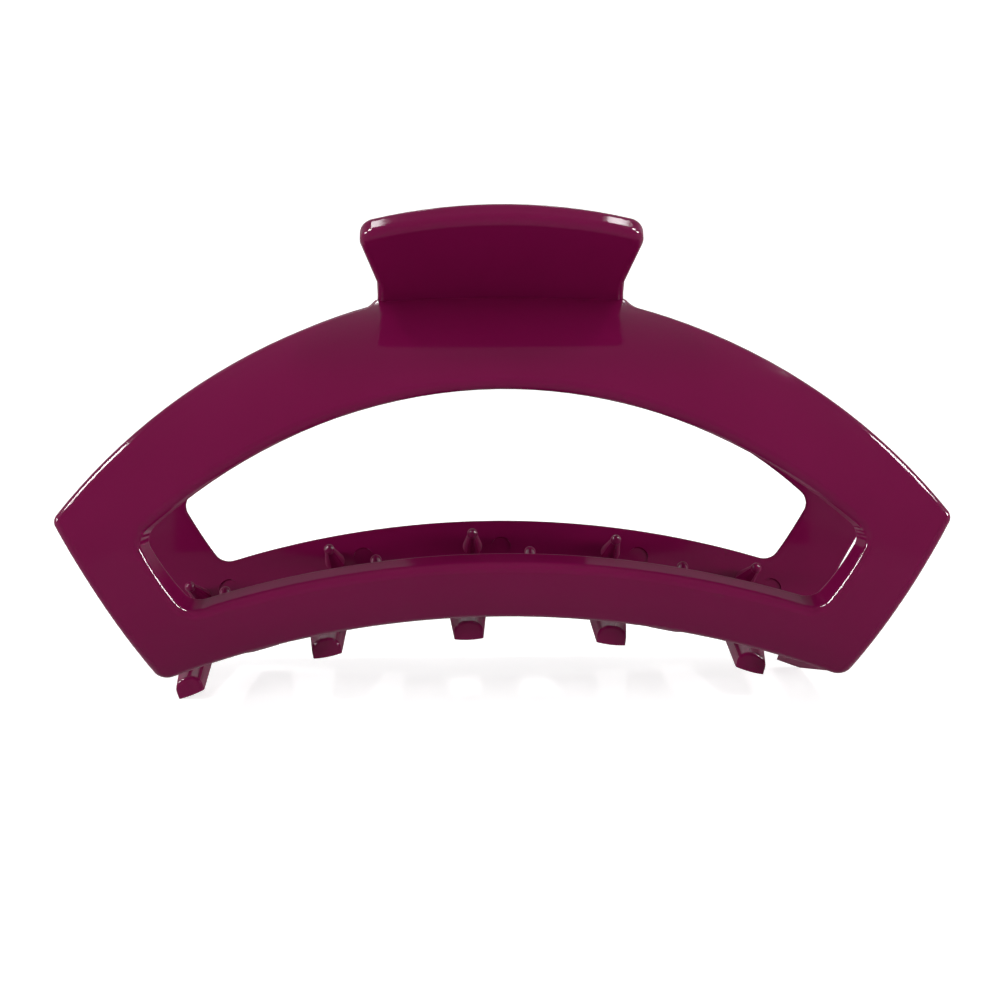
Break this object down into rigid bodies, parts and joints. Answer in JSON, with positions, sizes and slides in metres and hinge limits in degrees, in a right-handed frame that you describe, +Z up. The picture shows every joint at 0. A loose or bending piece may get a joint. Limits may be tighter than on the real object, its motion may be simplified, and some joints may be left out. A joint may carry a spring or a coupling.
{
  "type": "hair claw clip",
  "caption": "Large open-frame claw clip: arched windowed jaws with flared thumb tabs, interleaving curved teeth, a steel hinge pin and a torsion spring that holds it closed.",
  "frame": {"origin": "on the surface the closed clip stands on, straight below the middle of the hinge axis", "axes": "+X along the hinge axis, +Y from the front jaw to the rear jaw, +Z up from the teeth to the thumb tabs"},
  "size_m": [0.13, 0.0534, 0.0741],
  "materials": {
    "jaw_plastic": "glossy opaque burgundy plastic",
    "pin_steel": "plain steel",
    "spring_steel": "bright drawn spring wire"
  },
  "bodies": {
    "front": {"front_jaw": "jaw_plastic", "hinge_pin": "pin_steel", "torsion_spring": "spring_steel"},
    "rear": {"rear_jaw": "jaw_plastic"}
  },
  "joints": [
    {"name": "jaw_hinge", "type": "hinge", "parent": "front", "child": "rear", "pos_m": [0, 0, 0.05852], "axis": [1, 0, 0], "range_deg": [0, 78], "stiffness_Nm_per_rad": 0.16, "springref_deg": -34.38, "deforming": ["torsion_spring"]}
  ]
}
